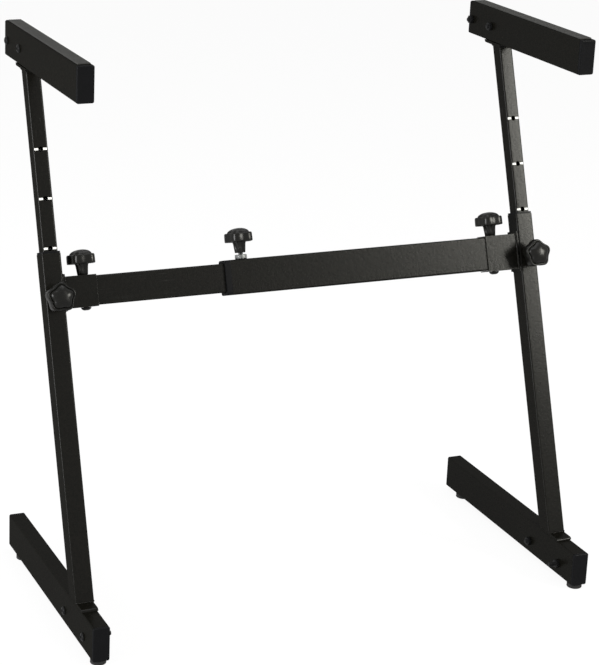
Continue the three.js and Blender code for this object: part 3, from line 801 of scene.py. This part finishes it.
def cap_piece(node, body, toward_rear):
    low, high = (Vector(corner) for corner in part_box(node))
    face = low.y if toward_rear else high.y
    direction = Vector((0, 1 if toward_rear else -1, 0))
    middle = (low + high) / 2
    place = along(Vector((middle.x, face, middle.z)), direction)
    name = f"{node}_moulded"
    cap = finish_piece(name, *cap_body(), cap_plastic, body, "cap_plastic", (node,), place)
    keep_faces_flat(cap)


def glide_piece(node, body):
    """A turned rubber foot with a groove round it and a stem up into the rail."""
    low, high = (Vector(corner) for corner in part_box(node))
    middle = (low + high) / 2
    profile = [(0.0040, 0.0012), (0.0045, 0.0003), (0.0070, 0.0000), (0.0110, 0.0000)]
    profile += rounded_corner((0.0113, 0.0017), 0.0017, -math.pi / 2, 0, 5)
    profile += [(0.0127, 0.0030), (0.0124, 0.0034), (0.0124, 0.0040), (0.0128, 0.0044)]
    profile += rounded_corner((0.0116, 0.0064), 0.0013, 0, math.pi / 2, 4)
    profile += [(0.0060, 0.0077), (0.0037, 0.0079), (0.0037, 0.0168)]
    place = Matrix.Translation((middle.x, middle.y, low.z))
    name = f"{node}_moulded"
    finish_piece(name, *turned(profile, GLIDE_SIDES), glide_rubber, body, "glide_rubber", (node,), place)


def pad_piece(node, body):
    """A rubber strip with rounded ribs along its whole length and eased ends."""
    low, high = (Vector(corner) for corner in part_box(node))
    middle = (low + high) / 2
    width = high.x - low.x
    length = high.y - low.y
    pitch = width / PAD_RIBS
    section = [(width / 2, 0.0)]
    for i in range(PAD_RIBS):
        right = width / 2 - i * pitch
        for part, level in RIB_ARC:
            section.append((right - part * pitch, level))
    section += [(-width / 2 + RIB_ARC[0][0] * pitch, RIB_ARC[0][1]), (-width / 2, 0.0)]
    rise = [(0.0, 0.55), (0.0006, 0.85), (PAD_EASED, 1.0)]
    steps = 60
    stations = rise + [(length * i / steps, 1.0) for i in range(1, steps)]
    stations += [(length - travel, height) for travel, height in reversed(rise)]
    vertices = []
    for travel, height in stations:
        for x, z in section:
            vertices.append(Vector((middle.x + x, low.y + travel, low.z + z * height)))
    name, faces = f"{node}_ribbed", ring_faces(len(stations), len(section))
    finish_piece(name, vertices, faces, pad_rubber, body, "pad_rubber", (node,))


for side, _ in SIDES:
    for rail, body in (("foot", "base"), ("arm", "mast")):
        cap_piece(f"{side}_{rail}_cap_front", f"{side}_{body}", True)
        cap_piece(f"{side}_{rail}_cap_rear", f"{side}_{body}", False)
    for end in ("front", "rear"):
        glide_piece(f"{side}_foot_glide_{end}", f"{side}_base")
    pad_piece(f"{side}_arm_pad", f"{side}_mast")

# ---------- weld beads ----------


def level_weld(name, center, half_x, half_y, radius, body):
    """A bead round an upright where it meets a level plate."""
    corner = min(half_x, half_y) * 0.2
    outline = rounded_rectangle(2 * half_x, 2 * half_y, corner, 5)
    points = []
    for i, (x, y) in enumerate(outline):
        nx, ny = outline[(i + 1) % len(outline)]
        here = center + Vector((x, y, 0))
        there = center + Vector((nx, ny, 0))
        points += sampled(here, there)[:-1] if (there - here).length > 0.0008 else [here]
    vertices, faces = bead_path(points, radius, closed=True)
    finish_piece(name, vertices, faces, coat, body, "powder_coat")


def straight_weld(name, start, end, radius, body):
    vertices, faces = bead_path(sampled(start, end), radius)
    finish_piece(name, vertices, faces, coat, body, "powder_coat")


def upright_weld(name, place, size, gap, radius, body):
    """The bead round a square upright of this size, where it leans onto a level plate."""
    along_rail = size / 2 / math.cos(TILT) + 0.0006
    level_weld(name, place, size / 2 + gap, along_rail, radius, body)


def frame_welds(side, x):
    """The beads at the foot and at the top of one side frame."""
    foot = AXIS_FOOT + AXIS * (SHOE / math.cos(TILT))
    place = Vector((x, foot.y, FOOT_TOP + SHOE + 0.0002))
    upright_weld(f"{side}_foot_weld", place, LOWER_SIZE, -0.001, 0.0015, f"{side}_base")
    arm_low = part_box(f"{side}_arm_tube")[0][2]
    top = AXIS_FOOT + AXIS * ((arm_low - SHOE - FOOT_TOP) / math.cos(TILT))
    place = Vector((x, top.y, top.z - 0.0002))
    upright_weld(f"{side}_arm_weld", place, UPPER_SIZE, 0.0005, 0.0013, f"{side}_mast")


def bracket_welds(side, sign):
    """The beads between one fold bracket, its base plate and the upright's inner face."""
    pivot = Vector(joints[f"{side}_fold"]["pos_m"])
    face = FRAME_X - LOWER_SIZE / 2
    web = BAR_IN_BRACKET[side][0] / 2 + SEAT_GAP + BRACKET_SHEET
    channel, plate = BRACKET_TOP[side] - 0.001, BRACKET_TOP[side] + BRACKET_PLATE_RIM
    # For each bead: inward from the upright's face, depth from the pivot, half its length, its radius.
    upright_beads = {
        "front": (0.0048, -web - 0.0001, channel, 0.0022),
        "edge": (0.0004, -0.0149, plate, 0.0009),
        "rear": (0.0004, 0.0149, plate, 0.0010),
    }
    body = f"{side}_base"
    for label, (inward, depth, reach, radius) in upright_beads.items():
        middle = Vector((sign * (face - inward), pivot.y, pivot.z)) - FRONT * depth
        ends = (middle - AXIS * reach, middle + AXIS * reach)
        straight_weld(f"{side}_bracket_weld_{label}", *ends, radius, body)
    for label, rise in (("over", plate), ("under", -plate)):
        middle = Vector((sign * (face - 0.0006), pivot.y, pivot.z)) + AXIS * rise
        ends = (middle + FRONT * 0.0142, middle - FRONT * 0.0142)
        straight_weld(f"{side}_bracket_weld_{label}", *ends, 0.0010, body)


for side, sign in SIDES:
    frame_welds(side, sign * FRAME_X)
    bracket_welds(side, sign)

# ---------- carried-over nodes and their materials ----------

for side, _ in SIDES:
    for node in ("foot_tube", "arm_tube", "lower_upright"):
        dress(f"{side}_{node}", coat, 0.0)
    for node in ("foot_shoe", "arm_shoe", "fold_bracket"):
        dress(f"{side}_{node}", coat)
    dress(f"{side}_upper_upright", coat_mast, 0.0)
    dress(f"{side}_upright_bushing", cap_plastic)
dress("crossbar_outer", coat, 0.0)
dress("crossbar_inner", coat_bar, 0.0)
dress("crossbar_bushing", cap_plastic, 0.0006)
dress("crossbar_outer_plug", cap_plastic)
dress("crossbar_inner_plug", cap_plastic)

# ---------- floor, light and camera ----------


def add_mesh_plane(name, size, height):
    mesh = bpy.data.meshes.new(name)
    half = size / 2
    corners = [(-half, -half, height), (half, -half, height), (half, half, height), (-half, half, height)]
    mesh.from_pydata(corners, [], [(0, 1, 2, 3)])
    obj = bpy.data.objects.new(name, mesh)
    bpy.context.scene.collection.objects.link(obj)
    return obj


def seen_directly(tree):
    """1 for camera, glossy and transmission rays, 0 for the rest."""
    path = tree.nodes.new("ShaderNodeLightPath")
    total = path.outputs["Is Camera Ray"]
    for name in ("Is Glossy Ray", "Is Transmission Ray"):
        add = tree.nodes.new("ShaderNodeMath")
        add.operation = "MAXIMUM"
        tree.links.new(total, add.inputs[0])
        tree.links.new(path.outputs[name], add.inputs[1])
        total = add.outputs[0]
    return total


def white_floor():
    floor = add_mesh_plane("floor", 16.0, -0.0002)
    material = bpy.data.materials.new("floor_white")
    material.use_nodes = True
    tree = material.node_tree
    tree.nodes.clear()
    output = tree.nodes.new("ShaderNodeOutputMaterial")
    diffuse = tree.nodes.new("ShaderNodeBsdfDiffuse")
    diffuse.inputs["Color"].default_value = (0.86, 0.86, 0.86, 1)
    glow = tree.nodes.new("ShaderNodeEmission")
    glow.inputs["Color"].default_value = (1, 1, 1, 1)
    glow.inputs["Strength"].default_value = 1.0
    share = tree.nodes.new("ShaderNodeMath")
    share.operation = "MULTIPLY"
    share.inputs[1].default_value = 0.92
    tree.links.new(seen_directly(tree), share.inputs[0])
    mix = tree.nodes.new("ShaderNodeMixShader")
    tree.links.new(share.outputs[0], mix.inputs["Fac"])
    tree.links.new(diffuse.outputs[0], mix.inputs[1])
    tree.links.new(glow.outputs[0], mix.inputs[2])
    tree.links.new(mix.outputs[0], output.inputs["Surface"])
    floor.data.materials.append(material)


def white_world(level):
    world = bpy.data.worlds.new("studio")
    world.use_nodes = True
    tree = world.node_tree
    background = tree.nodes["Background"]
    background.inputs["Color"].default_value = (1, 1, 1, 1)
    strength = tree.nodes.new("ShaderNodeMapRange")
    strength.inputs["To Min"].default_value = level
    strength.inputs["To Max"].default_value = 1.0
    tree.links.new(seen_directly(tree), strength.inputs["Value"])
    tree.links.new(strength.outputs["Result"], background.inputs["Strength"])
    bpy.context.scene.world = world


def softbox(name, place, target, width, height, watts, color=(1.0, 1.0, 1.0)):
    light = bpy.data.lights.new(name, "AREA")
    light.shape = "RECTANGLE"
    light.size = width
    light.size_y = height
    light.energy = watts
    light.color = color
    obj = bpy.data.objects.new(name, light)
    bpy.context.scene.collection.objects.link(obj)
    obj.location = place
    obj.rotation_euler = (Vector(target) - Vector(place)).to_track_quat("-Z", "Y").to_euler()


white_floor()
white_world(0.55)
WARM = (1.0, 0.985, 0.90)
softbox("key_right_front", (2.28, -2.25, 1.80), (0.3, 0, 0.6), 0.8, 1.1, 105, WARM)
softbox("top", (0.2, 0.3, 3.4), (0, 0, 0.4), 2.6, 2.6, 60)
softbox("left_edge", (-3.4, -0.75, 1.2), (-0.4, 0, 0.6), 1.0, 1.8, 150)

# The camera was fitted to the photo's straight edges. Its optical centre isn't the photo's middle.
PHOTO_WIDTH, PHOTO_HEIGHT = 599, 665
FOCAL_LENGTH_PIXELS = 2081.4533
OPTICAL_CENTRE = (205, 255)
SENSOR = 36

camera_data = bpy.data.cameras.new("camera")
camera_data.sensor_width = SENSOR
camera_data.lens = FOCAL_LENGTH_PIXELS * SENSOR / PHOTO_HEIGHT
camera_data.shift_x = (PHOTO_WIDTH / 2 - OPTICAL_CENTRE[0]) / PHOTO_HEIGHT
camera_data.shift_y = (OPTICAL_CENTRE[1] - PHOTO_HEIGHT / 2) / PHOTO_HEIGHT
camera_data.clip_end = 60
camera = bpy.data.objects.new("camera", camera_data)
bpy.context.scene.collection.objects.link(camera)
heading = Matrix.Rotation(-0.3881, 4, "Z")
pitch = Matrix.Rotation(1.2742, 4, "X")
roll = Matrix.Rotation(0.0319, 4, "Z")
stand_point = Matrix.Translation((-1.4070053, -3.0042045, 1.5711882))
camera.matrix_world = stand_point @ heading @ pitch @ roll
bpy.context.scene.camera = camera
bpy.context.scene.view_settings.view_transform = "Standard"

bpy.context.view_layer.update()
